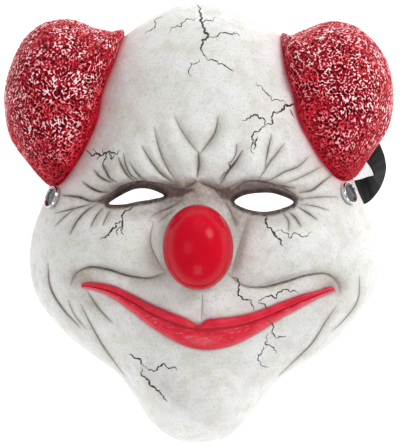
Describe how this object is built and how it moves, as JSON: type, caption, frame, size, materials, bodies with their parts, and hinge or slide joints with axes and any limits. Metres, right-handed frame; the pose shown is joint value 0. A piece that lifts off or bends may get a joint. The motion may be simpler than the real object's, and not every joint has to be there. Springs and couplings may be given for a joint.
{
  "type": "clown mask",
  "caption": "Hollow white clown mask with furrowed brows, red hair puffs, red ball nose, wide red grin, eye holes and a riveted elastic strap.",
  "frame": {"origin": "middle of the box of the mask's rim, in the plane that it rests on", "axes": "+Z out of the face, +Y towards the forehead, +X to the right of someone who looks at the face"},
  "size_m": [0.2124, 0.2441, 0.0898],
  "materials": {
    "face_white": "matt painted latex, aged, with fine cracks and brown shading",
    "hair_red": "rough curly relief, satin red with pale brushed tips",
    "nose_red": "gloss red paint",
    "lip_red": "satin red paint",
    "rivet_chrome": "polished",
    "strap_black": "ribbed woven elastic"
  },
  "bodies": {
    "root": {"face_shell": "face_white", "hair_puff_left": "hair_red", "hair_puff_right": "hair_red", "nose": "nose_red", "lips": "lip_red", "rivet_left": "rivet_chrome", "rivet_right": "rivet_chrome", "strap": "strap_black"}
  },
  "joints": []
}
